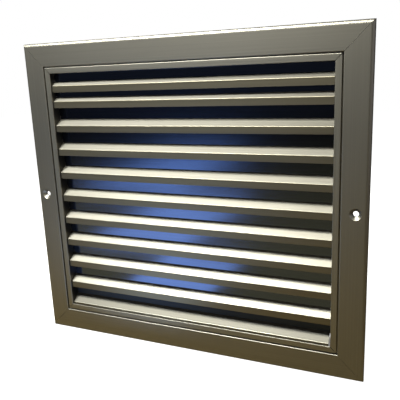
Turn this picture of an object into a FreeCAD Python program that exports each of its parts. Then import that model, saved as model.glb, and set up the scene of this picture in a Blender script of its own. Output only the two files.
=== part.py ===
"""Framed louvre panel for a wall or ceiling opening: a mitred metal surround, a recessed
inner frame and eleven Z-shaped blades. Units are millimetres.

The panel stands upright with its front to -Y and its top to +Z. The origin is the middle
of the mounting plane, where the back of the surround's flange meets the wall.
"""
import FreeCAD, Part
import math
import os
from FreeCAD import Vector

# Outer frame: a flange on the wall, a neck into the opening and a stop leg at the back.
panel_width = 350.0
panel_height = 316.0
flange_width = 23.6
flange_thickness = 4.4
flange_edge_radius = 3.5
flange_inner_edge_radius = 0.8
neck_thickness = 1.6
neck_root_radius = 1.0
stop_leg_thickness = 1.6
outer_mitre_gap = 0.2

# Ledge around the inside of the neck, the floor of the groove beside the inner frame.
groove_depth = 3.0
ledge_thickness = 1.2
ledge_overlap = 1.5

# Countersunk screw holes, one in the middle of each side member's flange.
screw_inset = 11.0
screw_hole_diameter = 5.0
countersink_diameter = 10.6
countersink_angle = 90.0

# Inner frame that carries the blades: a channel that opens outwards, set into the neck.
core_gap = 1.2
core_recess = 0.8
core_strip_width = 5.6
core_thickness = 1.0
core_depth = 18.0
core_edge_radius = 0.4
core_mitre_gap = 0.5

# Angles crimped inside the neck's corners, which hold the outer mitres shut.
corner_angle_leg = 20.0
corner_angle_depth = 11.0
corner_angle_clearance = 0.3
corner_angle_setback = 0.6

# Rivets through the stop leg and the inner frame's rear leg, two to a member.
rivet_shank_diameter = 2.4
rivet_head_diameter = 4.6
rivet_head_height = 1.0
rivet_tail_diameter = 3.6
rivet_tail_length = 1.2
rivet_hole_clearance = 0.1
rivet_spacing_wide = 200.0
rivet_spacing_tall = 160.0

# Blades: a lip that hangs at the front, a web that climbs backwards and an upstand.
blade_thickness = 1.2
blade_setback = 1.0
blade_end_clearance = 0.4
bend_radius_outside = 0.7
bend_radius_inside = 0.3
lip_height = 6.7
web_depth = 9.2
web_rise = 6.5
full_blade_count = 9
sight_overlap = 2.0

# The two narrow blades that fill the top of the frame. The first one's upstand closes it.
narrow_web_depth = 5.9
narrow_web_rise = 4.2
narrow_pitch = 15.9
top_bay_height = 12.6

# The bottom blade: its lip is trimmed to a nose over the frame, and lip and web end short.
bottom_web_rise = 7.7
bottom_edge_height = 2.0
bottom_nose_clearance = 0.2
bottom_web_shortfall = 1.6

# Tabs at the upstands' ends, staked through slots in the inner frame's side members.
tab_width = 8.0
narrow_tab_width = 4.0
tab_reach = 1.0
slot_clearance = 0.15

# Places that follow from the sizes above.
half_width = panel_width / 2
half_height = panel_height / 2
flange_front = -flange_thickness
core_front = flange_front + core_recess
core_back = core_front + core_depth
stop_back = core_back + stop_leg_thickness
ledge_front = flange_front + groove_depth
ledge_back = ledge_front + ledge_thickness
core_outer = flange_width + core_gap
core_inner = core_outer + core_strip_width
clear_half_width = half_width - core_inner
clear_half_height = half_height - core_inner
lip_front = core_front + core_thickness + blade_setback
full_blade_room = 2 * clear_half_height - top_bay_height - narrow_pitch - bottom_edge_height
blade_pitch = full_blade_room / full_blade_count

ACROSS = Vector(1, 0, 0)
BACK = Vector(0, 1, 0)
UP = Vector(0, 0, 1)
MIDDLE = Vector(0, 0, 0)
SIDE_TURN = {"top": 0, "right": 90, "bottom": 180, "left": -90}


def prism(points, direction):
    """A solid made by carrying a closed outline along a direction."""
    return Part.Face(Part.makePolygon(points + points[:1])).extrude(direction)


def round_long_edges(solid, places, radius):
    """Round the edges that run along X through the given (y, z) places."""
    chosen = []
    for edge in solid.Edges:
        start, end = edge.Vertexes[0].Point, edge.Vertexes[-1].Point
        if abs(start.y - end.y) > 1e-6 or abs(start.z - end.z) > 1e-6:
            continue
        if any(math.hypot(start.y - y, start.z - z) < 1e-4 for y, z in places):
            chosen.append(edge)
    return solid.makeFillet(radius, chosen)


def member_sizes(side):
    """Half the panel's size along a member, and half its size across it."""
    if side in ("top", "bottom"):
        return half_width, half_height
    return half_height, half_width


def along_side(side, shape):
    """Turn a shape made as the top member's into another side's place."""
    shape.rotate(MIDDLE, BACK, SIDE_TURN[side])
    return shape


def mitred_member(side, section, mitre_gap, rounds):
    """A frame member with 45 degree ends.

    The section is a list of (inset from the panel's edge, depth), and rounds pairs a
    radius with the corners of the section that it rounds.
    """
    half_run, half_across = member_sizes(side)
    outline = [Vector(-half_run, depth, half_across - inset) for inset, depth in section]
    member = prism(outline, ACROSS * 2 * half_run)
    for radius, corners in rounds:
        places = [(depth, half_across - inset) for inset, depth in corners]
        member = round_long_edges(member, places, radius)
    reach = max(inset for inset, depth in section)
    outer_end = half_run - mitre_gap / math.sqrt(2)
    inner_end = outer_end - reach
    front = min(depth for inset, depth in section)
    back = max(depth for inset, depth in section)
    ends = [
        Vector(-outer_end, front, half_across),
        Vector(outer_end, front, half_across),
        Vector(inner_end, front, half_across - reach),
        Vector(-inner_end, front, half_across - reach),
    ]
    return member.common(prism(ends, BACK * (back - front)))


def rivet_places(side):
    """Where the rivets' centre lines pass, for a member in the top member's place."""
    half_across = member_sizes(side)[1]
    spacing = rivet_spacing_wide if side in ("top", "bottom") else rivet_spacing_tall
    height = half_across - (core_outer + core_inner - core_thickness) / 2
    return [Vector(sign * spacing / 2, core_back, height) for sign in (-1, 1)]


def drill_rivet_holes(side, member):
    """The member, still in the top member's place, with its rivet holes."""
    radius = (rivet_shank_diameter + rivet_hole_clearance) / 2
    thickness = core_thickness + stop_leg_thickness
    for place in rivet_places(side):
        member = member.cut(Part.makeCylinder(radius, 2 * thickness, place - BACK * thickness, BACK))
    return member


def screw_hole_cutter():
    """The space of a countersunk screw hole at the middle of the top member's flange."""
    hole_radius = screw_hole_diameter / 2
    sink_radius = countersink_diameter / 2
    sink_depth = (sink_radius - hole_radius) / math.tan(math.radians(countersink_angle / 2))
    place = Vector(0, flange_front, half_width - screw_inset)
    hole = Part.makeCylinder(hole_radius, flange_thickness, place, BACK)
    sink = Part.makeCone(sink_radius, hole_radius, sink_depth, place, BACK)
    return hole.fuse(sink)


def outer_frame_member(side):
    neck_outer = flange_width - neck_thickness
    ledge_inner = core_outer + ledge_overlap
    section = [
        (0, 0),
        (0, flange_front),
        (flange_width, flange_front),
        (flange_width, ledge_front),
        (ledge_inner, ledge_front),
        (ledge_inner, ledge_back),
        (flange_width, ledge_back),
        (flange_width, core_back),
        (core_inner, core_back),
        (core_inner, stop_back),
        (neck_outer, stop_back),
        (neck_outer, 0),
    ]
    rounds = [
        (flange_edge_radius, [section[1]]),
        (flange_inner_edge_radius, [section[2]]),
        (neck_root_radius, [section[-2], section[-1]]),
    ]
    member = mitred_member(side, section, outer_mitre_gap, rounds)
    if side in ("left", "right"):
        member = member.cut(screw_hole_cutter())
    return along_side(side, drill_rivet_holes(side, member))


def core_frame_member(side, slots):
    wall_back = core_inner - core_thickness
    section = [
        (core_outer, core_front),
        (core_inner, core_front),
        (core_inner, core_back),
        (core_outer, core_back),
        (core_outer, core_back - core_thickness),
        (wall_back, core_back - core_thickness),
        (wall_back, core_front + core_thickness),
        (core_outer, core_front + core_thickness),
    ]
    rounds = [(core_edge_radius, [section[0], section[1]])]
    member = mitred_member(side, section, core_mitre_gap, rounds)
    member = along_side(side, drill_rivet_holes(side, member))
    if slots:
        member = member.cut(Part.makeCompound(slots))
    return member


def corner_angle(turn_x, turn_z):
    """An angle in the neck's corner, which turns towards one side and one end."""
    corner_x = half_width - flange_width
    corner_z = half_height - flange_width
    thickness = core_gap - corner_angle_clearance
    outline = [
        (corner_x, corner_z),
        (corner_x - corner_angle_leg, corner_z),
        (corner_x - corner_angle_leg, corner_z - thickness),
        (corner_x - thickness, corner_z - thickness),
        (corner_x - thickness, corner_z - corner_angle_leg),
        (corner_x, corner_z - corner_angle_leg),
    ]
    front = ledge_back + corner_angle_setback
    points = [Vector(turn_x * x, front, turn_z * z) for x, z in outline]
    return prism(points, BACK * corner_angle_depth)


def rivets():
    """All the rivets: a head on the stop leg, a shank and a tail in the inner frame."""
    shank_radius = rivet_shank_diameter / 2
    head_radius = rivet_head_diameter / 2
    grip = core_thickness + stop_leg_thickness
    head_edge = Vector(head_radius, stop_back, 0)
    head_top = Vector(0, stop_back + rivet_head_height, 0)
    slope = math.atan2(rivet_head_height, head_radius)
    dome_radius = head_radius / math.sin(2 * slope)
    dome_middle = head_top - BACK * dome_radius
    dome_point = dome_middle + Vector(math.sin(slope), math.cos(slope), 0) * dome_radius
    tail_radius = rivet_tail_diameter / 2
    tail_back = stop_back - grip
    tail_front = tail_back - rivet_tail_length
    outline = Part.Wire(
        [
            Part.Arc(head_top, dome_point, head_edge).toShape(),
            Part.makeLine(head_edge, Vector(shank_radius, stop_back, 0)),
            Part.makeLine(Vector(shank_radius, stop_back, 0), Vector(shank_radius, tail_back, 0)),
            Part.makeLine(Vector(shank_radius, tail_back, 0), Vector(tail_radius, tail_back, 0)),
            Part.makeLine(Vector(tail_radius, tail_back, 0), Vector(tail_radius, tail_front, 0)),
            Part.makeLine(Vector(tail_radius, tail_front, 0), Vector(0, tail_front, 0)),
            Part.makeLine(Vector(0, tail_front, 0), head_top),
        ]
    )
    one_rivet = Part.Face(outline).revolve(MIDDLE, BACK, 360)
    solids = []
    for side in SIDE_TURN:
        for place in rivet_places(side):
            rivet = one_rivet.translated(Vector(place.x, 0, place.z))
            solids.append(along_side(side, rivet))
    return Part.makeCompound(solids)


class Blade:
    """One blade's sizes, as distances along its Z-shaped section."""

    def __init__(self, edge_height, depth, rise, lip, upstand, tab, shortfall=0.0):
        self.edge_height = edge_height
        self.depth = depth
        self.rise = rise
        self.lip = lip
        self.upstand = upstand
        self.tab = tab
        self.shortfall = shortfall

    def section(self):
        """The outline as (depth, height): up the front surface, then down the back one."""
        slope = math.atan2(self.rise, self.depth)
        corner_drop = blade_thickness * (1 / math.cos(slope) - math.tan(slope))
        upstand_front = lip_front + self.depth
        upstand_back = upstand_front + blade_thickness
        upstand_foot = self.edge_height + self.rise
        return [
            (lip_front, self.edge_height - self.lip),
            (lip_front, self.edge_height),
            (upstand_front, upstand_foot),
            (upstand_front, upstand_foot + self.upstand),
            (upstand_back, upstand_foot + self.upstand),
            (upstand_back, upstand_foot - corner_drop),
            (lip_front + blade_thickness, self.edge_height - corner_drop),
            (lip_front + blade_thickness, self.edge_height - self.lip),
        ]

    def tab_bar(self, clearance, left, right):
        """A bar from left to right with the section of the upstand's tab, grown by a clearance."""
        front = lip_front + self.depth - clearance
        back = lip_front + self.depth + blade_thickness + clearance
        middle = self.edge_height + self.rise + self.upstand / 2
        low = middle - self.tab / 2 - clearance
        high = middle + self.tab / 2 + clearance
        corners = [(front, low), (front, high), (back, high), (back, low)]
        return prism([Vector(left, depth, height) for depth, height in corners], ACROSS * (right - left))

    def notch(self, right):
        """The space at one end where the lip and the web stop short of the upstand."""
        corner = Vector(
            right - self.shortfall, lip_front - blade_thickness, self.edge_height - self.lip - blade_thickness
        )
        deep = self.depth + blade_thickness
        tall = blade_thickness + self.lip + self.rise + bend_radius_inside
        return Part.makeBox(2 * self.shortfall, deep, tall, corner)

    def solid(self):
        outline = self.section()
        right = clear_half_width - blade_end_clearance
        left = -right
        points = [Vector(left, depth, height) for depth, height in outline]
        body = prism(points, ACROSS * (right - left))
        outside_bends = [outline[5]]
        inside_bends = [outline[2]]
        if self.lip > bend_radius_outside + blade_thickness:
            outside_bends.append(outline[1])
            inside_bends.append(outline[6])
        body = round_long_edges(body, outside_bends, bend_radius_outside)
        body = round_long_edges(body, inside_bends, bend_radius_inside)
        if self.shortfall:
            body = body.cut(self.notch(right))
        reach = clear_half_width + core_thickness + tab_reach
        return body.fuse(self.tab_bar(0.0, -reach, reach)).removeSplitter()

    def slot(self, side):
        """The slot that this blade's tab needs in one side member."""
        inner = clear_half_width - core_thickness
        outer = clear_half_width + 2 * core_thickness
        if side == "left":
            return self.tab_bar(slot_clearance, -outer, -inner)
        return self.tab_bar(slot_clearance, inner, outer)


def blades():
    """The blades from top to bottom: two narrow ones, then the full ones at one pitch."""
    first_edge = clear_half_height - top_bay_height
    second_edge = first_edge - narrow_pitch
    top_upstand = top_bay_height - narrow_web_rise
    second_upstand = narrow_pitch - lip_height - narrow_web_rise + sight_overlap
    full_upstand = blade_pitch - lip_height - web_rise + sight_overlap
    row = [
        Blade(first_edge, narrow_web_depth, narrow_web_rise, lip_height, top_upstand, narrow_tab_width),
        Blade(second_edge, narrow_web_depth, narrow_web_rise, lip_height, second_upstand, narrow_tab_width),
    ]
    for number in range(1, full_blade_count):
        edge = second_edge - number * blade_pitch
        row.append(Blade(edge, web_depth, web_rise, lip_height, full_upstand, tab_width))
    bottom_edge = bottom_edge_height - clear_half_height
    nose = bottom_edge_height - bottom_nose_clearance
    bottom_upstand = full_upstand + web_rise - bottom_web_rise
    row.append(
        Blade(bottom_edge, web_depth, bottom_web_rise, nose, bottom_upstand, tab_width, bottom_web_shortfall)
    )
    return row


def save(name, shape):
    shape.exportStep(os.path.join("parts", name + ".step"))


def main():
    os.makedirs("parts", exist_ok=True)
    row = blades()
    for side in SIDE_TURN:
        save("outer_frame_" + side, outer_frame_member(side))
        slots = []
        if side in ("left", "right"):
            slots = [blade.slot(side) for blade in row]
        save("core_frame_" + side, core_frame_member(side, slots))
    for end, turn_z in (("top", 1), ("bottom", -1)):
        for side, turn_x in (("left", -1), ("right", 1)):
            save("corner_angle_" + end + "_" + side, corner_angle(turn_x, turn_z))
    save("core_rivets", rivets())
    for number, blade in enumerate(row, 1):
        save("blade_%02d" % number, blade.solid())


main()
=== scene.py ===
import bpy
import math
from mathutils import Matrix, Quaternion, Vector


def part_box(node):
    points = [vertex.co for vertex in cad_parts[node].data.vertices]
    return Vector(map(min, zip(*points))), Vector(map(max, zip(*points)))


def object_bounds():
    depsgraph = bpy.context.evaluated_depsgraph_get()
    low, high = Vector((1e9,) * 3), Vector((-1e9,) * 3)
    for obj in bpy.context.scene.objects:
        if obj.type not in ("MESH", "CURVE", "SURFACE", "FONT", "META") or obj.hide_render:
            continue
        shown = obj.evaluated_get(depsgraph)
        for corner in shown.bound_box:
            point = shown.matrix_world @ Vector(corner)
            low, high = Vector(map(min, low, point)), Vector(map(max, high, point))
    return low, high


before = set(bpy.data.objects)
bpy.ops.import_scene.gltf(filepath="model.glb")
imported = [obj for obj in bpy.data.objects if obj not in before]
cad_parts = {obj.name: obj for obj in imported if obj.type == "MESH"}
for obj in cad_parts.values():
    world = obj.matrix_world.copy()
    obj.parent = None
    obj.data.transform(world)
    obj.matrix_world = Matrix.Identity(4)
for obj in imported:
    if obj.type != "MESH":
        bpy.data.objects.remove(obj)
cad_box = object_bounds()
cad_bottom = cad_box[0][2]
flange_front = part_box("outer_frame_top")[0][1]
strip_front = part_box("core_frame_top")[0][1]
core_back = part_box("core_frame_top")[1][1]
lip_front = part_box("blade_05")[0][1]
front_middle = Vector((0.0, flange_front, 0.0))

# The viewer stands to the right of the panel and a little above its middle.
VIEW_AZIMUTH = math.radians(26.5307)
VIEW_ELEVATION = math.radians(13.7105)
VIEW_DISTANCE = 0.51576
VIEW_AIM = Vector((0.01992, 0.0, 0.00422))
VIEW_ROLL = math.radians(-2.3625)
LENS = 47.72
SENSOR_WIDTH = 36.0

# Pattern scales, per metre: close across the drawing direction and long along it.
GRAIN_ACROSS = 900.0
GRAIN_ALONG = 4.0
SPECKLE_SCALE = 2600.0
DRIFT_SCALE = 9.0

BRONZE_DARK = (0.225, 0.212, 0.186, 1.0)
BRONZE_LIGHT = (0.275, 0.262, 0.232, 1.0)
ALUMINIUM_DARK = (0.42, 0.42, 0.42, 1.0)
ALUMINIUM_LIGHT = (0.62, 0.62, 0.61, 1.0)

# Roughness of the coat: open faces, the smooth upstands, and the dulled bottom blade.
SATIN = 0.45
SATIN_SPREAD = 0.03
SMOOTH = 0.16
DULLED = 0.62

UNTINTED = (1.0, 1.0, 1.0, 1.0)
SURROUND_TINT = (0.90, 0.90, 0.91, 1.0)
# Painted shade: the core frame's walls inside the recess are darkened to a third.
CORE_WALL_PAINTED_SHADE = (0.3, 0.3, 0.3, 1.0)
# Painted shade: the blades' front lips are darkened and warmed against the lamps.
LIP_PAINTED_SHADE = (0.66, 0.62, 0.52, 1.0)
# Painted shade and a painted blue glow: the upstands behind the lips are darkened in red and green and
# lifted in blue.
UPSTAND_PAINTED_SHADE_AND_BLUE_GLOW = (0.38, 0.52, 1.05, 1.0)
SILL_UPSTAND_PAINTED_SHADE_AND_BLUE_GLOW = (0.42, 0.52, 0.80, 1.0)
# Painted shade: the bottom blade's faces behind its lip face are darkened.
SILL_PAINTED_SHADE = (0.55, 0.55, 0.55, 1.0)

# Zones of a coat: (from depth, to depth, 1.0 for any facing or 0.0 for faces to the front).
FACING_FRONT = -0.8
EVERYWHERE = (-1.0, 1.0, 1.0)
# Painted shade goes on the core walls, lips, upstands and the bottom blade behind its lip face.
CORE_WALLS = (strip_front + 0.0012, core_back - 0.002, 1.0)
LIP = (-1.0, lip_front + 0.0016, 0.0)
UPSTAND = (lip_front + 0.003, core_back, 0.0)
BEHIND_LIP_FACE = (lip_front + 0.0002, core_back, 1.0)

WELD_DISTANCE = 1e-6
EASED_EDGE = 0.00018
SHARP_ANGLE = math.radians(40)

WHITE = (1.0, 1.0, 1.0)
BACKDROP_WHITE = (1.0, 1.0, 1.0, 1.0)
ROOM_WHITE = (1.0, 0.98, 0.94, 1.0)
ROOM_STRENGTH = 0.04
FLOOR_SIZE = 6.0
FLOOR_GAP = 0.0002
FLOOR_GREY = (0.30, 0.30, 0.30, 1.0)
FLOOR_GLOW = (0.99, 0.99, 0.99, 1.0)
FLOOR_BROWN = (0.14, 0.105, 0.043, 1.0)

# Cool strips lie on the floor: (name, nearest and farthest distance in front, width).
COOL_STRIPS = (("near", 0.06, 0.24, 0.12), ("middle", 0.24, 0.6, 0.18), ("far", 0.6, 1.2, 0.26))
COOL_BLUE = (0.40, 0.62, 1.0)
COOL_RADIANCE = 2.4
STRIP_START = -0.01
STRIP_LEAN = 0.52
STRIP_RISE = 0.008


# ---------------------------------------------------------------- small parts of a node tree


def new_group(name, inputs, outputs):
    """A shader node group with its sockets, and its input and output nodes."""
    group = bpy.data.node_groups.new(name, "ShaderNodeTree")
    for socket, kind in inputs:
        group.interface.new_socket(name=socket, in_out="INPUT", socket_type=kind)
    for socket, kind in outputs:
        group.interface.new_socket(name=socket, in_out="OUTPUT", socket_type=kind)
    return group, group.nodes.new("NodeGroupInput"), group.nodes.new("NodeGroupOutput")


def placed_group(nodes, group, values):
    """A group placed in a material, with its own values."""
    node = nodes.new("ShaderNodeGroup")
    node.node_tree = group
    for socket, value in values.items():
        node.inputs[socket].default_value = value
    return node


def axis_y(nodes, links, vector):
    """The Y part of a vector, which on the panel is the depth from its back plane."""
    axes = nodes.new("ShaderNodeSeparateXYZ")
    links.new(vector, axes.inputs["Vector"])
    return axes.outputs["Y"]


def reckoned(nodes, links, operation, first, second):
    """The result of a math node, each term a socket or a number."""
    node = nodes.new("ShaderNodeMath")
    node.operation = operation
    for slot, term in zip(node.inputs, (first, second)):
        if isinstance(term, float):
            slot.default_value = term
        else:
            links.new(term, slot)
    return node.outputs["Value"]


def ranged(nodes, links, source, low_value, high_value):
    """A number from low_value to high_value as the source goes from 0.3 to 0.7."""
    node = nodes.new("ShaderNodeMapRange")
    node.inputs["From Min"].default_value = 0.3
    node.inputs["From Max"].default_value = 0.7
    node.inputs["To Min"].default_value = low_value
    node.inputs["To Max"].default_value = high_value
    links.new(source, node.inputs["Value"])
    return node.outputs["Result"]


def colour_mix(nodes, links, first, second, factor):
    """A colour from first to second as the factor goes from 0 to 1."""
    mix = nodes.new("ShaderNodeMix")
    mix.data_type = "RGBA"
    mix.inputs["A"].default_value = first
    mix.inputs["B"].default_value = second
    links.new(factor, mix.inputs["Factor"])
    return mix.outputs["Result"]


def noise(nodes, links, vector, scale, detail):
    texture = nodes.new("ShaderNodeTexNoise")
    texture.inputs["Scale"].default_value = scale
    texture.inputs["Detail"].default_value = detail
    links.new(vector, texture.inputs["Vector"])
    return texture


def bump(nodes, links, height, strength, distance):
    node = nodes.new("ShaderNodeBump")
    node.inputs["Strength"].default_value = strength
    node.inputs["Distance"].default_value = distance
    links.new(height, node.inputs["Height"])
    return node


# ---------------------------------------------------------------- effects shared by the finishes


def drawn_grain():
    """Fine lines drawn along a length of metal, the speckle of the coat, and a slow drift."""
    group, given, result = new_group(
        "drawn_grain",
        [("Stretch", "NodeSocketVector")],
        [("Lines", "NodeSocketFloat"), ("Speckle", "NodeSocketFloat"), ("Drift", "NodeSocketFloat")],
    )
    nodes, links = group.nodes, group.links
    place = nodes.new("ShaderNodeTexCoord")
    stretch = nodes.new("ShaderNodeMapping")
    links.new(place.outputs["Object"], stretch.inputs["Vector"])
    links.new(given.outputs["Stretch"], stretch.inputs["Scale"])
    lines = noise(nodes, links, stretch.outputs["Vector"], scale=1.0, detail=3.0)
    lines.inputs["Roughness"].default_value = 0.6
    links.new(lines.outputs["Fac"], result.inputs["Lines"])
    for socket, scale in (("Speckle", SPECKLE_SCALE), ("Drift", DRIFT_SCALE)):
        spots = noise(nodes, links, place.outputs["Object"], scale, detail=2.0)
        links.new(spots.outputs["Fac"], result.inputs[socket])
    return group


def sheltered():
    """Where a face lies between two depths, and looks to the front unless any facing will do; the mask
    places the tints and painted shade.
    """
    group, given, result = new_group(
        "sheltered",
        [("From", "NodeSocketFloat"), ("To", "NodeSocketFloat"), ("Any Facing", "NodeSocketFloat")],
        [("Mask", "NodeSocketFloat")],
    )
    nodes, links = group.nodes, group.links
    depth = axis_y(nodes, links, nodes.new("ShaderNodeTexCoord").outputs["Object"])
    facing = axis_y(nodes, links, nodes.new("ShaderNodeNewGeometry").outputs["True Normal"])
    behind = reckoned(nodes, links, "GREATER_THAN", depth, given.outputs["From"])
    before = reckoned(nodes, links, "LESS_THAN", depth, given.outputs["To"])
    forward = reckoned(nodes, links, "LESS_THAN", facing, FACING_FRONT)
    faces = reckoned(nodes, links, "MAXIMUM", forward, given.outputs["Any Facing"])
    between = reckoned(nodes, links, "MULTIPLY", behind, before)
    links.new(reckoned(nodes, links, "MULTIPLY", between, faces), result.inputs["Mask"])
    return group


# ---------------------------------------------------------------- finishes


def tinted(nodes, links, colour, zone, tint):
    """A colour multiplied by a tint inside a zone, and the zone's mask. Most tints are painted shade."""
    values = dict(zip(("From", "To", "Any Facing"), zone))
    mask = placed_group(nodes, SHELTER, values).outputs["Mask"]
    product = nodes.new("ShaderNodeVectorMath")
    product.operation = "MULTIPLY"
    links.new(colour, product.inputs[0])
    links.new(colour_mix(nodes, links, UNTINTED, tint, mask), product.inputs[1])
    return product.outputs["Vector"], mask


def bronze_coat(name, stretch, zones, last_roughness):
    """Dark bronze satin coat over drawn metal, its grain stretched along one axis.

    Each zone comes with its tint, mostly painted shade, and the last zone also has its own roughness.
    """
    material = bpy.data.materials.new(name)
    material.use_nodes = True
    nodes, links = material.node_tree.nodes, material.node_tree.links
    shader = nodes["Principled BSDF"]
    grain = placed_group(nodes, GRAIN, {"Stretch": stretch})
    lines = grain.outputs["Lines"]
    lines_share = ranged(nodes, links, lines, low_value=0.1, high_value=0.6)
    drift_share = ranged(nodes, links, grain.outputs["Drift"], low_value=0.0, high_value=0.3)
    weight = reckoned(nodes, links, "ADD", lines_share, drift_share)
    colour = colour_mix(nodes, links, BRONZE_DARK, BRONZE_LIGHT, weight)
    for zone, tint in zones:
        colour, last_mask = tinted(nodes, links, colour, zone, tint)
    links.new(colour, shader.inputs["Base Color"])
    roughness = nodes.new("ShaderNodeMix")
    roughness.data_type = "FLOAT"
    satin = ranged(nodes, links, lines, SATIN - SATIN_SPREAD, SATIN + SATIN_SPREAD)
    links.new(satin, roughness.inputs["A"])
    roughness.inputs["B"].default_value = last_roughness
    links.new(last_mask, roughness.inputs["Factor"])
    links.new(roughness.outputs["Result"], shader.inputs["Roughness"])
    shader.inputs["Metallic"].default_value = 1.0
    lines_bump = bump(nodes, links, lines, strength=0.15, distance=0.0001)
    speckle_bump = bump(nodes, links, grain.outputs["Speckle"], strength=0.08, distance=0.00005)
    links.new(lines_bump.outputs["Normal"], speckle_bump.inputs["Normal"])
    links.new(speckle_bump.outputs["Normal"], shader.inputs["Normal"])
    return material


def rivet_metal():
    """Plain drawn aluminium, a little dulled."""
    material = bpy.data.materials.new("rivet_metal")
    material.use_nodes = True
    nodes, links = material.node_tree.nodes, material.node_tree.links
    shader = nodes["Principled BSDF"]
    grain = placed_group(nodes, GRAIN, {"Stretch": (GRAIN_ACROSS, GRAIN_ACROSS, GRAIN_ACROSS)})
    colour = colour_mix(nodes, links, ALUMINIUM_DARK, ALUMINIUM_LIGHT, grain.outputs["Speckle"])
    links.new(colour, shader.inputs["Base Color"])
    dulling = ranged(nodes, links, grain.outputs["Drift"], low_value=0.3, high_value=0.45)
    links.new(dulling, shader.inputs["Roughness"])
    shader.inputs["Metallic"].default_value = 1.0
    return material


def dress(node, material):
    """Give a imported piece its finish, the fine rounding of its cut edges and even shading."""
    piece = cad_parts[node]
    piece.data.materials.clear()
    piece.data.materials.append(material)
    weld = piece.modifiers.new("joined", "WELD")
    weld.merge_threshold = WELD_DISTANCE
    bevel = piece.modifiers.new("eased_edges", "BEVEL")
    bevel.width = EASED_EDGE
    bevel.segments = 2
    bevel.limit_method = "ANGLE"
    bevel.angle_limit = SHARP_ANGLE
    shading = piece.modifiers.new("even_shading", "WEIGHTED_NORMAL")
    shading.mode = "FACE_AREA"
    shading.keep_sharp = False


def dress_all():
    across = (GRAIN_ALONG, GRAIN_ACROSS, GRAIN_ACROSS)
    upright = (GRAIN_ACROSS, GRAIN_ACROSS, GRAIN_ALONG)
    # The core walls, lips, upstands and bottom blade get painted shade; the upstands also a painted blue
    # glow.
    surround = [(EVERYWHERE, SURROUND_TINT)]
    core = [(CORE_WALLS, CORE_WALL_PAINTED_SHADE)]
    blade = [(LIP, LIP_PAINTED_SHADE), (UPSTAND, UPSTAND_PAINTED_SHADE_AND_BLUE_GLOW)]
    sill = [(LIP, LIP_PAINTED_SHADE), (UPSTAND, SILL_UPSTAND_PAINTED_SHADE_AND_BLUE_GLOW), (BEHIND_LIP_FACE, SILL_PAINTED_SHADE)]
    surround_across = bronze_coat("bronze_surround_across", across, surround, SATIN)
    surround_upright = bronze_coat("bronze_surround_upright", upright, surround, SATIN)
    core_across = bronze_coat("bronze_core_across", across, core, SATIN)
    core_upright = bronze_coat("bronze_core_upright", upright, core, SATIN)
    blade_coat = bronze_coat("bronze_blades", across, blade, SMOOTH)
    sill_coat = bronze_coat("bronze_bottom_blade", across, sill, DULLED)
    rivet = rivet_metal()
    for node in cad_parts:
        stands = node.endswith(("left", "right"))
        if node == "core_rivets":
            dress(node, rivet)
        elif node == "blade_11":
            dress(node, sill_coat)
        elif node.startswith("blade"):
            dress(node, blade_coat)
        elif node.startswith("core_frame"):
            dress(node, core_upright if stands else core_across)
        else:
            dress(node, surround_upright if stands else surround_across)


# ---------------------------------------------------------------- floor, light and view


def seen_only(nodes, links, shown, unseen, output):
    """What the viewer sees directly, and what the metal's reflections get instead."""
    path = nodes.new("ShaderNodeLightPath")
    mix = nodes.new("ShaderNodeMixShader")
    links.new(path.outputs["Is Camera Ray"], mix.inputs["Fac"])
    links.new(unseen, mix.inputs[1])
    links.new(shown, mix.inputs[2])
    links.new(mix.outputs["Shader"], output)


def studio_world():
    world = bpy.data.worlds.new("studio")
    bpy.context.scene.world = world
    world.use_nodes = True
    nodes, links = world.node_tree.nodes, world.node_tree.links
    backdrop = nodes["Background"]
    backdrop.inputs["Color"].default_value = BACKDROP_WHITE
    backdrop.inputs["Strength"].default_value = 1.0
    room = nodes.new("ShaderNodeBackground")
    room.inputs["Color"].default_value = ROOM_WHITE
    room.inputs["Strength"].default_value = ROOM_STRENGTH
    output = nodes["World Output"].inputs["Surface"]
    seen_only(nodes, links, backdrop.outputs["Background"], room.outputs["Background"], output)


def studio_floor():
    """A pale floor to the viewer, and a dull brown one in the metal."""
    bpy.ops.object.select_all(action="DESELECT")
    bpy.ops.mesh.primitive_plane_add(size=FLOOR_SIZE, location=(0.0, 0.0, cad_bottom - FLOOR_GAP))
    floor = bpy.context.object
    floor.name = "studio_floor"
    material = bpy.data.materials.new("pale_floor")
    material.use_nodes = True
    nodes, links = material.node_tree.nodes, material.node_tree.links
    pale = nodes["Principled BSDF"]
    pale.inputs["Base Color"].default_value = FLOOR_GREY
    pale.inputs["Roughness"].default_value = 0.9
    pale.inputs["Emission Color"].default_value = FLOOR_GLOW
    pale.inputs["Emission Strength"].default_value = 1.0
    brown = nodes.new("ShaderNodeBsdfDiffuse")
    brown.inputs["Color"].default_value = FLOOR_BROWN
    output = nodes["Material Output"].inputs["Surface"]
    seen_only(nodes, links, pale.outputs["BSDF"], brown.outputs["BSDF"], output)
    floor.data.materials.append(material)


def soft_light(name, place, aim, width, height, radiance, colour):
    """A rectangular soft light that the viewer doesn't see, as bright as its radiance."""
    lamp = bpy.data.lights.new(name, "AREA")
    lamp.shape = "RECTANGLE"
    lamp.size = width
    lamp.size_y = height
    lamp.energy = math.pi * width * height * radiance
    lamp.color = colour
    holder = bpy.data.objects.new(name, lamp)
    bpy.context.collection.objects.link(holder)
    holder.location = place
    holder.rotation_euler = (Vector(aim) - Vector(place)).to_track_quat("-Z", "Y").to_euler()
    holder.visible_camera = False


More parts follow.
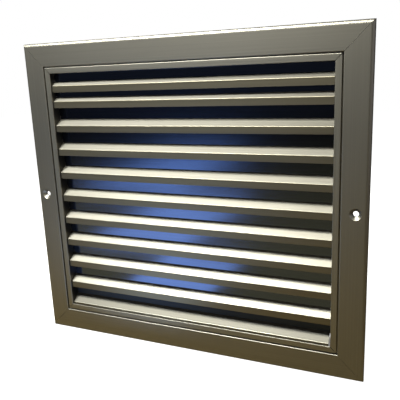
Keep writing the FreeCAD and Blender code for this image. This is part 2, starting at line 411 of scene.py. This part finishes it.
def overhead(name, along, distance, elevation, **softbox):
    """A softbox in front of the panel and high above it, aimed at its middle height."""
    angle = math.radians(elevation)
    place = (along, -distance * math.cos(angle), distance * math.sin(angle))
    soft_light(name, place=place, aim=(along, 0.0, 0.0), **softbox)


def studio_lights():
    overhead("key", along=-0.32, distance=0.9, elevation=64,
             width=0.25, height=0.20, radiance=118.0, colour=(0.96, 1.0, 0.97))
    overhead("wide_key", along=-0.12, distance=0.5, elevation=66,
             width=0.55, height=0.09, radiance=38.0, colour=(1.0, 0.98, 0.82))
    soft_light("right_fill", place=(1.4, -0.4, 0.5), aim=(0.0, -0.4, 0.5),
               width=1.8, height=1.2, radiance=0.6, colour=WHITE)
    soft_light("rear_fill", place=(-0.2, 1.0, 0.3), aim=(0.0, 0.0, 0.0),
               width=1.0, height=0.6, radiance=4.0, colour=WHITE)
    for name, near, far, width in COOL_STRIPS:
        away = (near + far) / 2
        along = STRIP_START - STRIP_LEAN * away
        place = (along, -away, cad_bottom + STRIP_RISE)
        soft_light("cool_strip_" + name, place=place, aim=(along, -away, 1.0),
                   width=width, height=far - near, radiance=COOL_RADIANCE, colour=COOL_BLUE)


def viewer():
    flat = math.cos(VIEW_ELEVATION)
    away = Vector((math.sin(VIEW_AZIMUTH) * flat, -math.cos(VIEW_AZIMUTH) * flat, math.sin(VIEW_ELEVATION)))
    camera_data = bpy.data.cameras.new("viewer")
    camera_data.lens = LENS
    camera_data.sensor_width = SENSOR_WIDTH
    camera = bpy.data.objects.new("viewer", camera_data)
    bpy.context.collection.objects.link(camera)
    camera.location = front_middle + away * VIEW_DISTANCE
    towards = front_middle + VIEW_AIM - camera.location
    turn = towards.to_track_quat("-Z", "Y") @ Quaternion((0.0, 0.0, 1.0), VIEW_ROLL)
    camera.rotation_mode = "QUATERNION"
    camera.rotation_quaternion = turn
    bpy.context.scene.camera = camera


GRAIN = drawn_grain()
SHELTER = sheltered()
dress_all()
studio_world()
studio_floor()
studio_lights()
viewer()
bpy.context.scene.view_settings.view_transform = "Standard"
